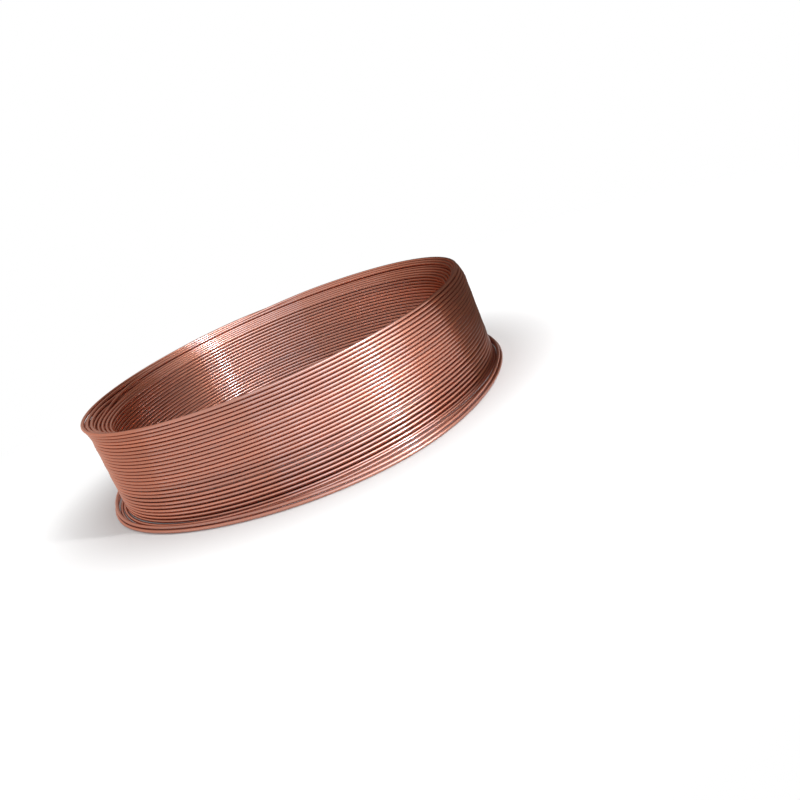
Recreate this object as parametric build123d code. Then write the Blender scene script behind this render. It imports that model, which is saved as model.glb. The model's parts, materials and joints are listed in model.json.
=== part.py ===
"""A coil of thin copper tube, wound in close layers, with its last turns sprung loose round the foot.

The coil stands on its end. +Z runs up its axis, and the origin is on the axis at the level it rests on.
The wound layers are one turned solid, on which a turn shows as a ridge with flat flanks.
The loose turns and the free end are a swept tube that grows out of it.
"""

from build123d import *
import math
import os

# Driving dimensions, in millimetres and degrees
tube_od = 2.0
tube_wall = 0.5
turn_gap = 0.02  # between neighbouring turns of a tight layer
coil_od = 240.0  # over the tight outer layer
layer_step = 1.9  # from one layer to the next, each partly nested in the grooves below it
layer_drops = (0, 1, 2, 5, 6, 7, 8)  # half turns by which each layer's top lies below the outer one's
groove_depth = 0.6
rest_land = 0.8  # width of the band on which a lowest turn rests

# The outer layer from the top down: tight rows, rows that have drawn apart, and bare height at the foot
tight_rows = 21
ridged_top_rows = 2  # the other tight rows press so close that they are one plain band here
parted_rows = 6
parted_gap = 0.19
foot_height = 2.6

# The loose turns pass four stations each time round, a quarter turn apart, and the first is at the back,
# inside the wound layers. The reach is how far the tube's centre lies beyond the tight wall.
station_reaches = (-12.0, -0.4, 16.8, 2.2, 4.0, 2.0, 18.8, 5.6, 16.0)
station_heights = (1.6, 1.18, 3.3, 3.1, 3.2, 1.3, 1.3, 1.4, 1.6)
first_azimuth = 110.0  # of the first station
round_share = 0.5523  # of the radius, by which a quarter turn's curve reaches ahead to be round
flat_share = 0.5  # the same on both sides of the front station, where the turns are flatter
full_share = 0.6  # the same from the left station to the back one, where they bulge
loose_sides = 6
tail_bend = 160.0  # radius of the bend after the last station
tail_turn = 62.0  # how far that bend runs round
tail_straight = 16.0
tail_bore_depth = 12.0

tube_radius = tube_od / 2
row_pitch = tube_od + turn_gap
parted_pitch = tube_od + parted_gap
half_turn = row_pitch / 2
wall_radius = coil_od / 2
inner_layer = len(layer_drops) - 1
parted_top = foot_height + parted_rows * parted_pitch
coil_height = parted_top + tight_rows * row_pitch


def layer_radius(layer):
    """Radius of a layer's tube centre, counted from the outer layer inwards."""
    return wall_radius - tube_radius - layer * layer_step


def layer_top(layer):
    """Each layer ends lower than the one round it, so the top dips towards the bore."""
    return coil_height - layer_drops[layer] * half_turn


def layer_bottom(layer):
    """Neighbouring layers lie half a turn apart, so every second one reaches the floor."""
    return half_turn * (layer % 2)


bore_radius = layer_radius(inner_layer) - tube_radius


def ridges(first_groove, pitch, count):
    """Grooves and crests up the outer wall, ending on the last crest."""
    points = []
    for row in range(count):
        groove = first_groove + row * pitch
        points.append((wall_radius - groove_depth, groove))
        points.append((wall_radius, groove + pitch / 2))
    return points


def wall_outline():
    """The outer wall from the foot up."""
    plain_top = coil_height - ridged_top_rows * row_pitch
    plain = [(wall_radius - groove_depth, parted_top), (wall_radius, parted_top + half_turn)]
    plain.append((wall_radius, plain_top - half_turn))
    return (
        ridges(foot_height, parted_pitch, parted_rows) + plain + ridges(plain_top, row_pitch, ridged_top_rows)
    )


def top_outline():
    """Crests and grooves over the top, from the outer layer inwards."""
    points = []
    for layer in range(inner_layer + 1):
        points.append((layer_radius(layer), layer_top(layer)))
        if layer < inner_layer:
            points.append((layer_radius(layer) - layer_step / 2, layer_top(layer + 1) - groove_depth))
    return points


def bore_outline():
    """The bore wall, over the crests of the innermost turns."""
    return [
        (bore_radius, layer_top(inner_layer) - tube_radius),
        (bore_radius, layer_bottom(inner_layer) + tube_radius),
    ]


def bottom_outline():
    """Lands of the layers that reach the floor, with the others half a turn up between them."""
    points = []
    for layer in range(inner_layer, 0, -1):
        if layer_bottom(layer) > 0:
            points.append((layer_radius(layer), layer_bottom(layer)))
        else:
            points.append((layer_radius(layer) - rest_land / 2, 0))
            points.append((layer_radius(layer) + rest_land / 2, 0))
    return points


def foot_outline():
    """The wall of the second layer, bare where the outer layer has let go."""
    foot_radius = layer_radius(1) + tube_radius
    return [(foot_radius, layer_bottom(1) + tube_radius), (foot_radius, foot_height)]


def wound_pack():
    """The tight layers as one turned solid with its bore."""
    outline = wall_outline() + top_outline() + bore_outline() + bottom_outline() + foot_outline()
    section = make_face(Polyline([(radius, 0, height) for radius, height in outline], close=True))
    return revolve(section, Axis.Z)


def station_azimuth(index):
    return math.radians(first_azimuth - 90 * index)


def station_point(index):
    across = wall_radius + station_reaches[index]
    azimuth = station_azimuth(index)
    return Vector(across * math.cos(azimuth), across * math.sin(azimuth), station_heights[index])


def quarter_turn(index):
    """The curve between two stations, level and square to the radius at both."""
    start, end = station_point(index), station_point(index + 1)
    share = (round_share, flat_share, flat_share, full_share)[index % 4]
    ahead = start + Vector(end.X, end.Y, 0) * share
    behind = end + Vector(start.X, start.Y, 0) * share
    return Bezier(start, ahead, behind, end)


def loose_path():
    """Quarter turns from station to station, and the bend after the last."""
    last = len(station_reaches) - 1
    curves = [quarter_turn(index) for index in range(last)]
    azimuth = station_azimuth(last)
    centre = station_point(last) - Vector(math.cos(azimuth), math.sin(azimuth), 0) * tail_bend
    curves.append(CenterArc(centre, tail_bend, math.degrees(azimuth), -tail_turn))
    return curves


def loose_turns(path):
    """The bent tube round the foot, with flat sides."""
    start = Plane(origin=path[0] @ 0, x_dir=(1, 0, 0), z_dir=path[0] % 0)
    section = RegularPolygon(tube_radius, loose_sides, major_radius=False, rotation=180 / loose_sides)
    return sweep(start * section, path=Wire(path))


def tube_end(path):
    """The straight, round, open end of the tube."""
    end = path[-1] @ 1
    along = path[-1] % 1
    outside = Plane(origin=end, z_dir=along) * extrude(Circle(tube_radius), tail_straight)
    mouth = Plane(origin=end + along * tail_straight, z_dir=-along)
    return outside - mouth * extrude(Circle(tube_radius - tube_wall), tail_bore_depth)


path = loose_path()
coil = wound_pack() + loose_turns(path) + tube_end(path)
middle = path[-1] @ 1 + (path[-1] % 1) * tail_straight / 2
print("bore radius", bore_radius, "bore wall from", bore_outline()[1][1], "to", bore_outline()[0][1])
print("middle of the straight end", middle, "along", path[-1] % 1)
print("solids", len(coil.solids()), "valid", coil.is_valid, "volume", coil.volume, "height", coil_height)
os.makedirs("parts", exist_ok=True)
export_step(coil, "parts/copper_tube_coil.step")
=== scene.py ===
# %% [markdown]
# # A coil of thin copper tube
#
# The real thing is about 130 m of soft copper tube, 2 mm thick, wound in seven layers round an
# open bore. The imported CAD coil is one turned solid, so here every turn that can be seen is laid
# as a tube of its own. A length of tube is a circle pushed along a line. What makes it look right
# is the line: how the rows lie against each other, where a row steps to the next one, and how the
# last turns spring loose at the foot.

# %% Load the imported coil
import json
import math

import bpy
import numpy as np
from mathutils import Matrix, Vector


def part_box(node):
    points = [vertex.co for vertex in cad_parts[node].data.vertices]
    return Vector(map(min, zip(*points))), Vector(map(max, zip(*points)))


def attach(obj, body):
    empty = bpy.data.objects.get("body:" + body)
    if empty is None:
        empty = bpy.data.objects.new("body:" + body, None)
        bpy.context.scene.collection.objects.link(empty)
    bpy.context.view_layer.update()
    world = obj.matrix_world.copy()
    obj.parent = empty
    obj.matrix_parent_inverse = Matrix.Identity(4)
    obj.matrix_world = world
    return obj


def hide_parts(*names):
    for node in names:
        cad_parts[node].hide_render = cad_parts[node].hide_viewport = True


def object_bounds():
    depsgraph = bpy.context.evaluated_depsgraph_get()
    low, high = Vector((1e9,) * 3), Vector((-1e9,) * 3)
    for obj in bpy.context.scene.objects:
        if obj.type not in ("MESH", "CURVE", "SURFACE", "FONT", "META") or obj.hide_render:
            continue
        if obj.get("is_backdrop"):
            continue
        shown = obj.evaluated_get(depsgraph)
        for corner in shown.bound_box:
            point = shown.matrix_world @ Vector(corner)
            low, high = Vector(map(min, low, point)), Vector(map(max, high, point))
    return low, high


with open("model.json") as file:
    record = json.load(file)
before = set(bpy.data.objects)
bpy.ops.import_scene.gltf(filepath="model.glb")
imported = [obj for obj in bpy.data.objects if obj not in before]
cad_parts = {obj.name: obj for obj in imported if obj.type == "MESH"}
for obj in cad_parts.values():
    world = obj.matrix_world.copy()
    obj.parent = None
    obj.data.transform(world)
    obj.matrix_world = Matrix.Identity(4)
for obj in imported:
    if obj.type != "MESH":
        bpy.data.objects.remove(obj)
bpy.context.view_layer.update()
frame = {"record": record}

MM = 0.001  # the coil's lengths are in millimetres, and Blender's are in metres


def corners():
    """The lowest and highest corner of what shows, as plain lists."""
    return [list(corner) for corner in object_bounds()]


# %% [markdown]
# ## Sizes
#
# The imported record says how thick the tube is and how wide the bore, and the node's box says how
# high the coil stands. Everything else about the winding follows from those and from the step
# between the layers. Reading them from the frame keeps this model and the solid the same size.

# %% Read the sizes from the frame
NODE = "copper_tube_coil"
mounts = {mount["name"]: mount for mount in frame["record"]["mounts"]}
tube_radius = mounts["tube_end"]["dims"]["r_mm"]
straight_end = mounts["tube_end"]["dims"]["length_mm"]
bore_radius = mounts["bore"]["dims"]["r_mm"]
coil_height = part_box(NODE)[1].z / MM
print("tube radius", tube_radius, "bore radius", bore_radius, "height", coil_height)

# %% Say how the layers lie
tube_wall = 0.5
mouth_depth = 12.0  # how far one can see into the free end
turn_gap = 0.02  # between rows that press together, so that their surfaces stay apart
row_pitch = 2 * tube_radius + turn_gap
half_turn = row_pitch / 2
layer_step = 1.9  # less than a tube's thickness, as each layer nests in the grooves of the last
# half turns by which each layer's top lies below the outer one's, from the outer layer inwards
layer_drops = (0, 1, 2, 5, 6, 7, 8)
layer_count = len(layer_drops)
wall_radius = bore_radius + 2 * tube_radius + (layer_count - 1) * layer_step
print("outside diameter", 2 * wall_radius)


def layer_radius(layer):
    """Radius of a layer's centre line, counted from the outer layer inwards."""
    return wall_radius - tube_radius - layer * layer_step


# %% [markdown]
# ## Rows
#
# In the middle of the coil the rows press against each other, so they are one tube's width apart.
# Towards the foot of the outer layer nothing holds them any more, and they have drawn apart by up
# to 0.3 mm. A short table of those gaps says more than a random number would.

# %% Find the height of each row
outer_rows = 27
# a row's number, counted from 0 at the top, and how far it has drawn away from the row above it
outer_gaps = {
    4: 0.05, 5: 0.05,
    18: 0.2, 19: 0.05, 20: 0.3, 21: 0.2, 22: 0.1, 23: 0.2, 25: 0.2, 26: 0.1,
}


def row_heights(layer):
    """Heights of a layer's rows, from the top down."""
    top = coil_height - layer_drops[layer] * half_turn - tube_radius
    if layer == 0:
        gaps = [outer_gaps.get(row, 0) for row in range(1, outer_rows)]
        return [top - sum(gaps[:row]) - row * row_pitch for row in range(outer_rows)]
    foot = tube_radius + half_turn * (layer % 2)
    count = int((top - foot) / row_pitch) + 1
    return list(np.linspace(top, foot, count))


rows = [row_heights(layer) for layer in range(layer_count)]
print("rows in each layer", [len(heights) for heights in rows])

# %% [markdown]
# ## Turns
#
# A machine winds such a coil in level rings. Over a short stretch of each turn the tube steps
# down to the next ring, and at the end of a layer it steps to the next layer. Every second layer
# is wound upwards. A plain helix would be simpler, but its rows would all be tilted, and a
# layer's end would be a ramp. The steps between layers are simplified: over a few centimetres
# there the tube cuts into its neighbour, mostly out of sight.

# %% Lay one layer's centre line
points_per_turn = 180
step_share = 0.1  # of a turn, taken by the step to the next row
tube_begins = 0.06  # of the first turn: the very first row has none to step from
inner_step_azimuth = -90.0  # the inner layer's steps are at the front, the outer layer's behind
loose_start = (wall_radius - 0.4, 1.18)  # radius and height at which the tube leaves the last row


def smooth(x):
    """Eases from 0 to 1."""
    x = np.clip(x, 0, 1)
    return x * x * (3 - 2 * x)


def travel(layer):
    """A layer's rows as radius and height, in the order in which the tube runs through them."""
    heights = rows[layer] if layer % 2 == 0 else rows[layer][::-1]
    return [(layer_radius(layer), height) for height in heights]


def step_azimuth(layer):
    """Where the steps lie as the tube enters a layer, and as it leaves it."""
    between = layer_count - 2
    turned = np.clip([between - layer, between - layer + 1], 0, between)
    return inner_step_azimuth - 180 * turned / between


def layer_line(layer):
    """Radius, azimuth in degrees and height along one layer's centre line."""
    route = travel(layer)
    count = len(route)
    innermost = layer == layer_count - 1
    before = route[0] if innermost else travel(layer + 1)[-1]
    after = loose_start if layer == 0 else travel(layer - 1)[0]
    begin = tube_begins if innermost else 0.0
    along = np.linspace(begin, count, int((count - begin) * points_per_turn) + 1)
    row = np.minimum(np.floor(along), count - 1)
    part = along - row
    half_step = step_share / 2
    arriving = smooth((part + half_step) / step_share) - 1
    leaving = smooth((part - 1 + half_step) / step_share)
    place = row + (arriving + leaving)
    stations = np.array([before, *route, after])
    radius = np.interp(place, np.arange(-1, count + 1), stations[:, 0])
    height = np.interp(place, np.arange(-1, count + 1), stations[:, 1])
    start, end = step_azimuth(layer)
    return radius, start - 360 * along + (end - start) * along / count, height


# %% [markdown]
# ## Handling
#
# A coil that has been carried about isn't perfect. Its rows wander up and down by a tenth of a
# millimetre or two, and more where they have drawn apart. The top few rows have been pushed
# sideways like a pile of plates, and at the front on the right the lowest rows sag to the floor,
# so that they fan out. All of it is one smooth shift of space, so that neighbouring rows move
# together and press into each other by about a quarter of a millimetre at most. A separate
# random shift of each row would make them cross.

# %% Say how far the rows have shifted
wander = 0.12  # up and down
foot_wander = 0.4  # the same where the rows have drawn apart
parted_height = 17.0  # below this the outer rows have drawn apart
outer_fade = 1.2  # only the outer layer is loose, and this far inside it nothing is
# the floor holds the rows below the first of these heights, and lets go of them over the second
floor_hold = (2.0, 4.0)
push = 0.1  # in and out
push_ripple = 3  # neighbouring rows are pushed less alike than they wander
end_fade = 6.0  # towards the top and the foot the unevenness dies out, so that both stay flat
sag = 1.2  # of the lowest row
sag_azimuth = -55.0
sag_focus = 1.5  # more keeps the sag nearer its middle
sag_lean = 1.3  # more keeps it nearer the foot
sag_rise = 1.5  # height above the loose tube over which the sag sets in
slide = 2.2  # of the top row, towards the left
slide_depth = 9.0  # this far below the top nothing has slid

# %% Shift them
kinds, waves = 3, 5  # of the three kinds of unevenness the last is spare
rng = np.random.default_rng(7)
wave_phase = rng.uniform(0, 2 * np.pi, (kinds, waves))
wave_climb = rng.uniform(-0.35, 0.35, (kinds, waves))
wave_height = 1.6  # divides the sum of the waves, so that it stays between about -1 and 1


def wave(kind, azimuth, height):
    """A smooth, repeatable unevenness."""
    turn = np.radians(azimuth)
    total = 0
    for k in range(waves):
        phase = (k + 1) * turn + wave_phase[kind, k] + wave_climb[kind, k] * height
        total = total + np.sin(phase) / (k + 1)
    return total / wave_height


def handled(radius, azimuth, height):
    """Points in millimetres, once the coil has been handled."""
    turn = np.radians(azimuth)
    below_top = coil_height - tube_radius - height
    outermost = smooth((radius - layer_radius(0) + outer_fade) / outer_fade)
    let_go = smooth((height - floor_hold[0]) / floor_hold[1])
    looseness = smooth((parted_height - height) / parted_height) * let_go * outermost
    inside = smooth(below_top / end_fade) * smooth(height / end_fade)
    facing = np.clip(np.cos(turn - math.radians(sag_azimuth)), 0, 1) ** sag_focus
    low = np.clip((parted_height - height) / (parted_height - rows[0][-1]), 0, 1) ** sag_lean
    sagged = sag * facing * low * outermost * smooth((height - loose_start[1]) / sag_rise)
    unsteady = wander * inside + foot_wander * looseness
    lifted = np.maximum(height + unsteady * wave(0, azimuth, height) - sagged, tube_radius)
    pushed = radius + push * wave(1, azimuth, height * push_ripple) * inside
    slid = slide * np.clip(1 - below_top / slide_depth, 0, 1) ** 2
    return np.stack([pushed * np.cos(turn) - slid, pushed * np.sin(turn), lifted], 1)


top_left = handled(*np.array([[layer_radius(0)], [180.0], [rows[0][0]]]))[0]
print("the top row passes the left side at", top_left.round(2))

# %% [markdown]
# ## Loose turns
#
# Soft tube keeps a little spring. The last four turns have let go of the foot. The first two of
# them still hug the wall, and the others stand off it by up to two centimetres at the front and
# lie on each other. A few stations are enough to say where they lie. Between two stations a
# quarter turn apart the tube follows one cubic curve that leaves each square to the radius, so
# the bends join without a kink. The stations are given one by one, so on the right and behind
# these turns run into each other by up to 1.1 mm, where real tube would only touch.

# %% Say where the loose turns lie
first_azimuth = 20.0
# how far the tube's centre lies beyond the wall, and how high it lies
loose_stations = (
    # right, front, left, back
    (-0.4, 1.18), (1.6, 1.7), (1.0, 1.7), (0.8, 1.4),
    (1.7, 1.1), (6.0, 1.1), (3.4, 1.1), (3.0, 1.1),
    (3.9, 1.1), (18.7, 1.3), (6.2, 1.3), (5.2, 1.2),
    (2.8, 3.2), (17.8, 3.15), (5.0, 3.1), (16.0, 3.3),
)
round_share = 0.5523  # how far a curve reaches ahead to be a quarter of a circle
wide_from = 8  # from this station on the turns stand off the wall
wide_shares = (0.48, 0.5, 0.6, round_share)  # the same there, for each quarter in turn
tail_bend = 160.0  # radius of the bend after the last station
tail_turn = 62.0  # how far that bend runs round
tail_height = 1.6
rows_end = travel(0)[-1]
print("loose turns before the last bend", (len(loose_stations) - 1) / 4)

# %% Lay the loose turns
leave_points, quarter_points, tail_points, straight_points = 40, 60, 60, 9


def station_azimuth(index):
    return math.radians(first_azimuth - 90 * index)


def station(index):
    reach, height = loose_stations[index]
    turn, across = station_azimuth(index), wall_radius + reach
    return np.array([across * math.cos(turn), across * math.sin(turn), height])


def quarter_turn(index):
    """Points along the cubic curve from one station to the next."""
    start, end = station(index), station(index + 1)
    share = wide_shares[index % 4] if index >= wide_from else round_share
    ahead, behind = start + share * end * [1, 1, 0], end + share * start * [1, 1, 0]
    t = np.linspace(0, 1, quarter_points)[:, None]
    setting_out = start * (1 - t) ** 3 + 3 * ahead * t * (1 - t) ** 2
    return setting_out + 3 * behind * t**2 * (1 - t) + end * t**3


def leave_wall():
    """From the outer layer's last step, close under its lowest row, to the first station."""
    azimuth = np.linspace(step_azimuth(0)[1] + 360, first_azimuth, leave_points)
    step = smooth(0.5 + (azimuth[0] - azimuth) / 360 / step_share)
    radius = rows_end[0] + (loose_start[0] - rows_end[0]) * step
    height = rows_end[1] + (loose_start[1] - rows_end[1]) * step
    return radius, azimuth, height


def tail():
    """The last bend and the straight end."""
    last = len(loose_stations) - 1
    begin = station_azimuth(last)
    centre = station(last) - tail_bend * np.array([math.cos(begin), math.sin(begin), 0])
    turn = begin - np.radians(np.linspace(0, tail_turn, tail_points))[:, None]
    bend = centre + tail_bend * np.concatenate([np.cos(turn), np.sin(turn), 0 * turn], 1)
    bend[:, 2] += (tail_height - bend[0, 2]) * smooth(np.linspace(0, 1, len(bend)))
    onward = np.array([math.sin(turn[-1, 0]), -math.cos(turn[-1, 0]), 0])
    straight = bend[-1] + onward * np.linspace(0, straight_end, straight_points)[1:, None]
    return np.concatenate([bend, straight])


quarters = [quarter_turn(index)[1:] for index in range(len(loose_stations) - 1)]
loose_line = np.concatenate([handled(*leave_wall())] + quarters + [tail()[1:]])
print("free end at", loose_line[-1] * MM, "and middle of its mount at", mounts["tube_end"]["pos_m"])

# %% [markdown]
# ## One line
#
# All the layers and the loose turns are strung into a single line, as they are one piece of tube.
# The pieces made below are only stretches of it, so where one stretch meets the next they fit
# exactly.

# %% String the whole tube
stretches = {}
strung = []
count = 0
for layer in range(layer_count - 1, -1, -1):
    points = handled(*layer_line(layer))
    stretches[layer] = (count, count + len(points))
    strung.append(points[:-1])  # its last point is the first of the next stretch
    count += len(points) - 1
stretches["loose"] = (count, count + len(loose_line))
line = np.concatenate(strung + [loose_line])
length = np.concatenate([[0], np.cumsum(np.linalg.norm(np.diff(line, axis=0), axis=1))])
print("metres of tube", round(length[-1] * MM, 1))

# %% Find which way is out and which is up all along it
ahead = np.gradient(line, axis=0)
ahead /= np.linalg.norm(ahead, axis=1)[:, None]
outs = np.cross(ahead, [0.0, 0.0, 1.0])
outs /= np.linalg.norm(outs, axis=1)[:, None]
ups = np.cross(outs, ahead)
print("points along the tube", len(line))

# %% [markdown]
# ## Tube
#
# A circle of points is pushed along the line, and each ring of points is joined to the next by
# four-sided faces. A curve with a bevel would do the same, but a mesh lets the tube carry a UV
# map in real metres: one way runs along the tube and the other round it, which the drawn finish
# needs later.

# %% Join rings of points and map them in metres
sides = 12


def ring_faces(rings):
    """The faces between each ring and the next."""
    ring = np.arange(rings - 1)[:, None] * sides
    side = np.arange(sides)[None, :]
    after = (side + 1) % sides
    corner = [ring + side, ring + sides + side, ring + sides + after, ring + after]
    return np.stack(corner, 2).reshape(-1, 4)


def ring_map(along):
    """For every corner of those faces, how far it lies along the tube and round it, in metres."""
    shape = (len(along) - 1, sides)
    low = np.broadcast_to(along[:-1, None] * MM, shape)
    high = np.broadcast_to(along[1:, None] * MM, shape)
    step = 2 * math.pi * tube_radius * MM / sides
    here = np.broadcast_to(np.arange(sides)[None, :] * step, shape)
    return np.stack([low, here, high, here, high, here + step, low, here + step], 2).reshape(-1, 2)


# %% Push a circle along a stretch of the line
def make_tube(name, first, last, mouth=0.0):
    """A tube along part of the line, closed at both ends or open to the depth of a mouth."""
    part = np.arange(first, last)
    centres, radii, along = line[part], np.full(len(part), tube_radius), length[part]
    if mouth:
        # two more rings, of the opening's size: one at the end, and one at the bottom of the mouth
        bottom = line[last - 1] - ahead[last - 1] * mouth
        centres = np.concatenate([centres, [line[last - 1], bottom]])
        radii = np.concatenate([radii, [tube_radius - tube_wall] * 2])
        along = np.concatenate([along, along[-1] + np.array([tube_wall, tube_wall + mouth])])
        part = np.concatenate([part, [last - 1, last - 1]])
    turn = np.arange(sides) * 2 * np.pi / sides
    across = np.cos(turn)[:, None] * outs[part][:, None]
    up = np.sin(turn)[:, None] * ups[part][:, None]
    points = (centres[:, None] + radii[:, None, None] * (across + up)).reshape(-1, 3) * MM
    faces = ring_faces(len(part))
    # the caps have corners of their own, so that they don't bend the shading of the sides
    ends = np.concatenate([points[:sides], points[-sides:]])
    near_cap = [len(points) + k for k in range(sides)][::-1]
    far_cap = [len(points) + sides + k for k in range(sides)]
    mesh = bpy.data.meshes.new(name)
    every_point = np.concatenate([points, ends]).tolist()
    mesh.from_pydata(every_point, [], faces.tolist() + [near_cap, far_cap])
    uv = np.zeros((len(mesh.loops), 2))
    uv[: len(faces) * 4] = ring_map(along)
    mesh.uv_layers.new(name="along_and_round").data.foreach_set("uv", uv.ravel())
    mesh.polygons.foreach_set("use_smooth", [True] * len(faces) + [False] * 2)
    obj = bpy.data.objects.new(name, mesh)
    bpy.context.collection.objects.link(obj)
    print(name, "triangles", len(faces) * 2)
    return obj


# %% [markdown]
# ## Pieces
#
# The outer and the inner layer are seen whole. The layer next to each of them is whole too, so
# that no light comes through between the rows. Of the others only the ends show, at the top and
# at the foot. Leaving the rest out saves a quarter of a million triangles, and nobody can see
# where they would be.

# %% Make the stretches that can be seen
end_points = 3 * points_per_turn  # three rows at each end of a layer
whole_layers = {
    0: "outer_layer",
    1: "second_layer",
    layer_count - 2: "layer_before_inner",
    layer_count - 1: "inner_layer",
}
pieces = []
for layer in range(layer_count - 1, -1, -1):
    first, last = stretches[layer]
    if layer in whole_layers:
        pieces.append(make_tube(whole_layers[layer], first, last))
    else:
        pieces.append(make_tube(f"layer_{layer + 1}_start", first, first + end_points))
        pieces.append(make_tube(f"layer_{layer + 1}_end", last - end_points, last))
pieces.append(make_tube("loose_turns", *stretches["loose"], mouth=mouth_depth))

# %% [markdown]
# ## Copper
#
# Drawn copper is a metal with no paint on it, so all of its colour is in its reflections. It
# isn't a mirror: drawing leaves fine scratches along the tube, and handling leaves a thin brown
# film that is heavier on some stretches. Noise stretched along the tube's own length gives both,
# and because each turn is another metre of tube, neighbouring rows differ slightly, as they do on
# the real coil. A clear coat lies over it. Copper tints what it reflects and a coat doesn't, so
# the coat is what makes the brightest glints nearly white.

# %% Write two helpers for arithmetic in a material
def arithmetic(tree, operation, *values):
    """A math node's output. Each value is a number or another node's output."""
    node = tree.nodes.new("ShaderNodeMath")
    node.operation = operation
    for socket, value in zip(node.inputs, values):
        if isinstance(value, bpy.types.NodeSocket):
            tree.links.new(value, socket)
        else:
            socket.default_value = value
    return node.outputs[0]


def in_range(tree, value, source=(0.0, 1.0), target=(0.0, 1.0), eased=False):
    """A node's output, carried over from one range to another."""
    node = tree.nodes.new("ShaderNodeMapRange")
    node.interpolation_type = "SMOOTHSTEP" if eased else "LINEAR"
    node.inputs["From Min"].default_value, node.inputs["From Max"].default_value = source
    node.inputs["To Min"].default_value, node.inputs["To Max"].default_value = target
    tree.links.new(value, node.inputs["Value"])
    return node.outputs["Result"]


# %% Make the copper
brown_copper = (0.38, 0.115, 0.06, 1)
clean_copper = (0.58, 0.182, 0.092, 1)
# painted shade for the grooves, where a tube touches the rows above and below
painted_groove_shade = (0.30, 0.075, 0.04, 1)


def copper_material():
    material = bpy.data.materials.new("drawn_copper")
    material.use_nodes = True
    tree = material.node_tree
    nodes, links = tree.nodes, tree.links
    shader = nodes["Principled BSDF"]
    shader.inputs["Metallic"].default_value = 1.0
    shader.inputs["Specular Tint"].default_value = (0.85, 0.48, 0.38, 1)
    shader.inputs["Coat Weight"].default_value = 0.55
    shader.inputs["Coat Roughness"].default_value = 0.12
    shader.inputs["Coat IOR"].default_value = 2.8

    where = nodes.new("ShaderNodeUVMap")
    where.uv_map = "along_and_round"

    def stretched_noise(along, around, detail):
        """Noise with so many waves to a metre along the tube and round it."""
        mapping = nodes.new("ShaderNodeMapping")
        mapping.inputs["Scale"].default_value = (along, around, 1)
        links.new(where.outputs["UV"], mapping.inputs["Vector"])
        noise = nodes.new("ShaderNodeTexNoise")
        noise.inputs["Scale"].default_value = 1.0
        noise.inputs["Detail"].default_value = detail
        links.new(mapping.outputs["Vector"], noise.inputs["Vector"])
        return noise.outputs["Fac"]

    film = nodes.new("ShaderNodeValToRGB")
    film.color_ramp.elements[0].position = 0.3
    film.color_ramp.elements[0].color = brown_copper
    film.color_ramp.elements[1].position = 0.7
    film.color_ramp.elements[1].color = clean_copper
    links.new(stretched_noise(6, 40, 3), film.inputs["Fac"])

    # where a tube touches the next one, above and below, its colour is darker: painted shade in the
    # grooves between the rows
    split = nodes.new("ShaderNodeSeparateXYZ")
    links.new(where.outputs["UV"], split.inputs["Vector"])
    twice_round = arithmetic(tree, "MULTIPLY", split.outputs["Y"], 2 / (tube_radius * MM))
    facing = arithmetic(tree, "COSINE", twice_round)
    tint = nodes.new("ShaderNodeMix")
    tint.data_type = "RGBA"
    tint.inputs["A"].default_value = painted_groove_shade
    links.new(in_range(tree, facing, source=(-1.0, -0.2), eased=True), tint.inputs["Factor"])
    links.new(film.outputs["Color"], tint.inputs["B"])
    links.new(tint.outputs["Result"], shader.inputs["Base Color"])

    scratches = stretched_noise(30, 4000, 2)
    links.new(in_range(tree, scratches, target=(0.3, 0.42)), shader.inputs["Roughness"])
    bump = nodes.new("ShaderNodeBump")
    bump.inputs["Strength"].default_value = 0.1
    bump.inputs["Distance"].default_value = 0.01 * MM
    links.new(scratches, bump.inputs["Height"])
    links.new(bump.outputs["Normal"], shader.inputs["Normal"])
    return material


copper = copper_material()
for piece in pieces:
    piece.data.materials.append(copper)
    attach(piece, "root")
    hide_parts(NODE)
print("pieces", [piece.name for piece in pieces])

# %% [markdown]
# ## Floor and light
#
# The coil stands on a plain white floor in an even, white room. Three lamps throw its soft
# shadow. Metal shows whatever is round it, and what the copper shows is a ring of cards: windows
# in front, with a narrow, much brighter one that draws the streak down the wall, and dimmer walls
# on the other sides. Reflections show the cards and not the lamps, and nothing else is lit by
# the cards. So the shadow and the reflections can each be set without changing the other.

# %% Tell direct sight from scattered light
def seen_directly(tree):
    """1 for rays from the camera, in reflections and through glass, and 0 for the rest."""
    path = tree.nodes.new("ShaderNodeLightPath")
    total = path.outputs["Is Camera Ray"]
    for name in ("Is Glossy Ray", "Is Transmission Ray"):
        total = arithmetic(tree, "MAXIMUM", total, path.outputs[name])
    return total


# %% Make the floor
floor_half = 6.0  # this and the distances below are in metres
# distances from the axis over which the floor's shadow gives way to white
shadow_fades = (0.14, 0.42)
# and over which the floor's own glow grows, so that a painted shadow darkens it close to the foot
glow_rises = (0.13, 0.18)


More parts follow.
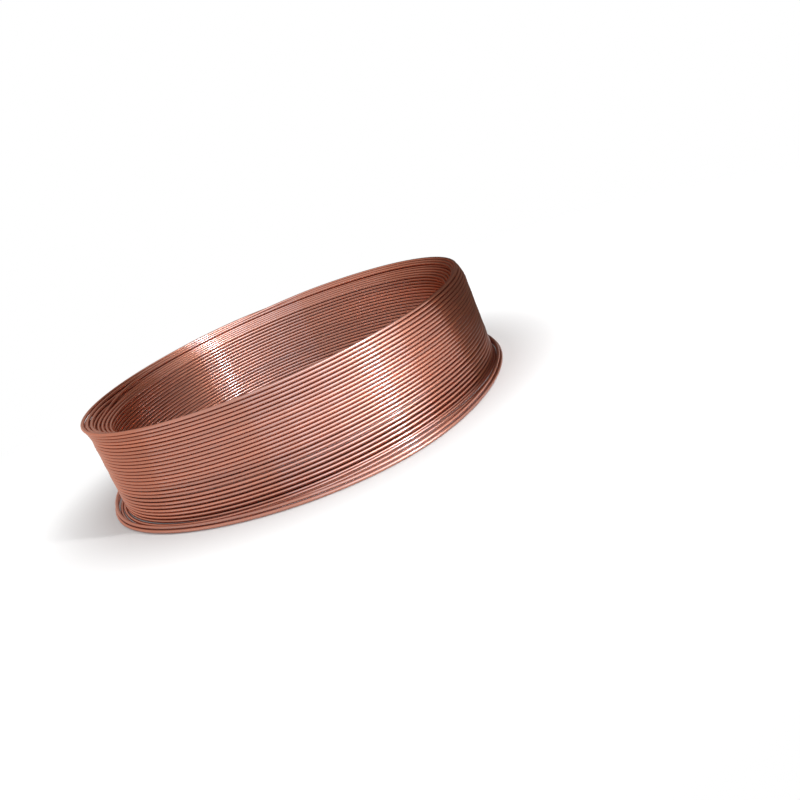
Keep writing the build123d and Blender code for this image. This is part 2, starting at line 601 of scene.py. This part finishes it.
def floor_material():
    """Near the coil the floor takes its shadow and a painted one, and further off it is plain
    white.
    """
    material = bpy.data.materials.new("white_floor")
    material.use_nodes = True
    tree = material.node_tree
    nodes, links = tree.nodes, tree.links
    nodes.clear()
    output = nodes.new("ShaderNodeOutputMaterial")
    seen = seen_directly(tree)

    place = nodes.new("ShaderNodeTexCoord")
    distance = nodes.new("ShaderNodeVectorMath")
    distance.operation = "LENGTH"
    links.new(place.outputs["Object"], distance.inputs[0])
    far = in_range(tree, distance.outputs["Value"], source=shadow_fades, eased=True)
    # less glow close to the foot is a painted shadow there
    glow = in_range(tree, distance.outputs["Value"], source=glow_rises, target=(0.1, 0.5))

    paint = nodes.new("ShaderNodeBsdfDiffuse")
    paint.inputs["Color"].default_value = (0.6, 0.6, 0.6, 1)
    lift = nodes.new("ShaderNodeEmission")
    links.new(arithmetic(tree, "MULTIPLY", glow, seen), lift.inputs["Strength"])
    near = nodes.new("ShaderNodeAddShader")
    links.new(paint.outputs[0], near.inputs[0])
    links.new(lift.outputs[0], near.inputs[1])
    white = nodes.new("ShaderNodeEmission")
    both = nodes.new("ShaderNodeMixShader")
    links.new(arithmetic(tree, "MULTIPLY", far, seen), both.inputs["Fac"])
    links.new(near.outputs[0], both.inputs[1])
    links.new(white.outputs[0], both.inputs[2])
    links.new(both.outputs[0], output.inputs["Surface"])
    return material


square = ((-1, -1), (1, -1), (1, 1), (-1, 1))
floor_mesh = bpy.data.meshes.new("floor")
floor_corners = [(x * floor_half, y * floor_half, 0) for x, y in square]
floor_mesh.from_pydata(floor_corners, [], [(0, 1, 2, 3)])
floor = bpy.data.objects.new("floor", floor_mesh)
bpy.context.collection.objects.link(floor)
floor_mesh.materials.append(floor_material())
floor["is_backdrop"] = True
print("floor", 2 * floor_half, "m across")

# %% Make the room
world = bpy.data.worlds.new("white_room")
bpy.context.scene.world = world
world.use_nodes = True
room = world.node_tree
background = room.nodes["Background"]
background.inputs["Color"].default_value = (1, 1, 1, 1)
brightness = in_range(room, seen_directly(room), target=(0.8, 1.0))
room.links.new(brightness, background.inputs["Strength"])
print("room", world.name)

# %% Hang the lamps
lamp_distance = 1.5  # this and the lamps' sizes are in metres


def softbox(name, azimuth, elevation, width, height, power):
    """An area lamp that looks at the coil's middle from an azimuth. Reflections don't show it."""
    lamp = bpy.data.lights.new(name, "AREA")
    lamp.shape = "RECTANGLE"
    lamp.size, lamp.size_y, lamp.energy = width, height, power
    obj = bpy.data.objects.new(name, lamp)
    turn, lift = math.radians(azimuth), math.radians(elevation)
    level = math.cos(lift)
    away = Vector((math.cos(turn) * level, math.sin(turn) * level, math.sin(lift)))
    obj.location = away * lamp_distance + Vector((0, 0, coil_height * MM / 2))
    obj.rotation_euler = away.to_track_quat("Z", "Y").to_euler()
    obj.visible_glossy = False
    bpy.context.collection.objects.link(obj)
    print(name, "at", tuple(round(value, 2) for value in obj.location))


softbox("front_lamp", azimuth=-41, elevation=20, width=0.06, height=1.6, power=20)
softbox("broad_lamp", azimuth=-49, elevation=25, width=1.56, height=1.2, power=6)
softbox("left_lamp", azimuth=-160, elevation=35, width=0.12, height=1.0, power=1)

# %% Set up the cards
daylight = (0.68, 0.93, 1.14)  # cool, so that it looks white on copper
warm_wall = (1.0, 0.82, 0.7)
card_steps = 24
card_lift = 0.002  # of a card's foot above the floor, in metres


def card_round(name, start, end, strength, distance, height, foot, colour):
    """A curved card between two azimuths. Only reflections show it, and it throws no shadow.

    The distance and the height are in metres, and the foot is the share of the distance at which
    the card meets the floor.
    """
    turn = np.radians(np.linspace(start, end, card_steps + 1))
    high = np.stack([distance * np.cos(turn), distance * np.sin(turn), height + 0 * turn], 1)
    low = high * [foot, foot, 0] + [0, 0, card_lift]
    above = card_steps + 1
    strips = [(k, k + 1, k + 1 + above, k + above) for k in range(card_steps)]
    mesh = bpy.data.meshes.new(name)
    mesh.from_pydata(np.concatenate([low, high]).tolist(), [], strips)
    card = bpy.data.objects.new(name, mesh)
    bpy.context.collection.objects.link(card)
    paint = bpy.data.materials.new(name)
    paint.use_nodes = True
    nodes, links = paint.node_tree.nodes, paint.node_tree.links
    nodes.clear()
    glow = nodes.new("ShaderNodeEmission")
    glow.inputs["Color"].default_value = (*colour, 1)
    glow.inputs["Strength"].default_value = strength
    output = nodes.new("ShaderNodeOutputMaterial")
    links.new(glow.outputs[0], output.inputs["Surface"])
    mesh.materials.append(paint)
    card.visible_camera = card.visible_diffuse = card.visible_shadow = False
    card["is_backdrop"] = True


# the azimuths between which a card runs, and how bright it is
walls = {
    "dark_side_of_the_room": (-20, 85, 0.12),
    "darker_corner": (85, 100, 0.28),
    "dim_corner": (100, 115, 0.48),
    "dim_side_of_the_room": (115, 150, 0.62),
    "lighter_side_of_the_room": (150, 215, 0.88),
}
windows = {
    "bright_window": (-70, -20, 4.6),
    "bright_curtain": (-94, -70, 3.1),
    "thin_curtain": (-112, -94, 2.0),
}
for name, place in walls.items():
    card_round(name, *place, distance=0.6, height=0.7, foot=0.24, colour=warm_wall)
# a narrow card that hangs just in front of the windows, and is far brighter than they are
card_round("streak", -42.2, -39.8, 62, distance=1.5, height=1.67, foot=1.0, colour=daylight)
for name, place in windows.items():
    card_round(name, *place, distance=1.7, height=2.0, foot=1.0, colour=daylight)
print("cards", [*walls, "streak", *windows])

# %% [markdown]
# ## Camera
#
# The camera stands in front and a little above, and is turned on its own axis, so the level coil
# seems to lean in the picture. Where it stood was worked out from the rings that the grooves
# draw.

# %% Place the camera
camera_data = bpy.data.cameras.new("camera")
camera_data.sensor_width = 36.0
camera_data.lens = 43.78
camera = bpy.data.objects.new("camera", camera_data)
look_down = 16.42
roll = -22.67
camera_place = (55.5, -577.1, 160.5)  # in millimetres
camera.matrix_world = (
    Matrix.Translation(Vector(camera_place) * MM)
    @ Matrix.Rotation(math.radians(90 - look_down), 4, "X")
    @ Matrix.Rotation(math.radians(roll), 4, "Z")
)
bpy.context.collection.objects.link(camera)
bpy.context.scene.camera = camera
bpy.context.scene.view_settings.view_transform = "Standard"
print("camera", round(Vector(camera_place).length * MM, 2), "m from the foot's middle")

# %% Print the box and finish
bpy.context.view_layer.update()
print("box of the wound coil", corners())
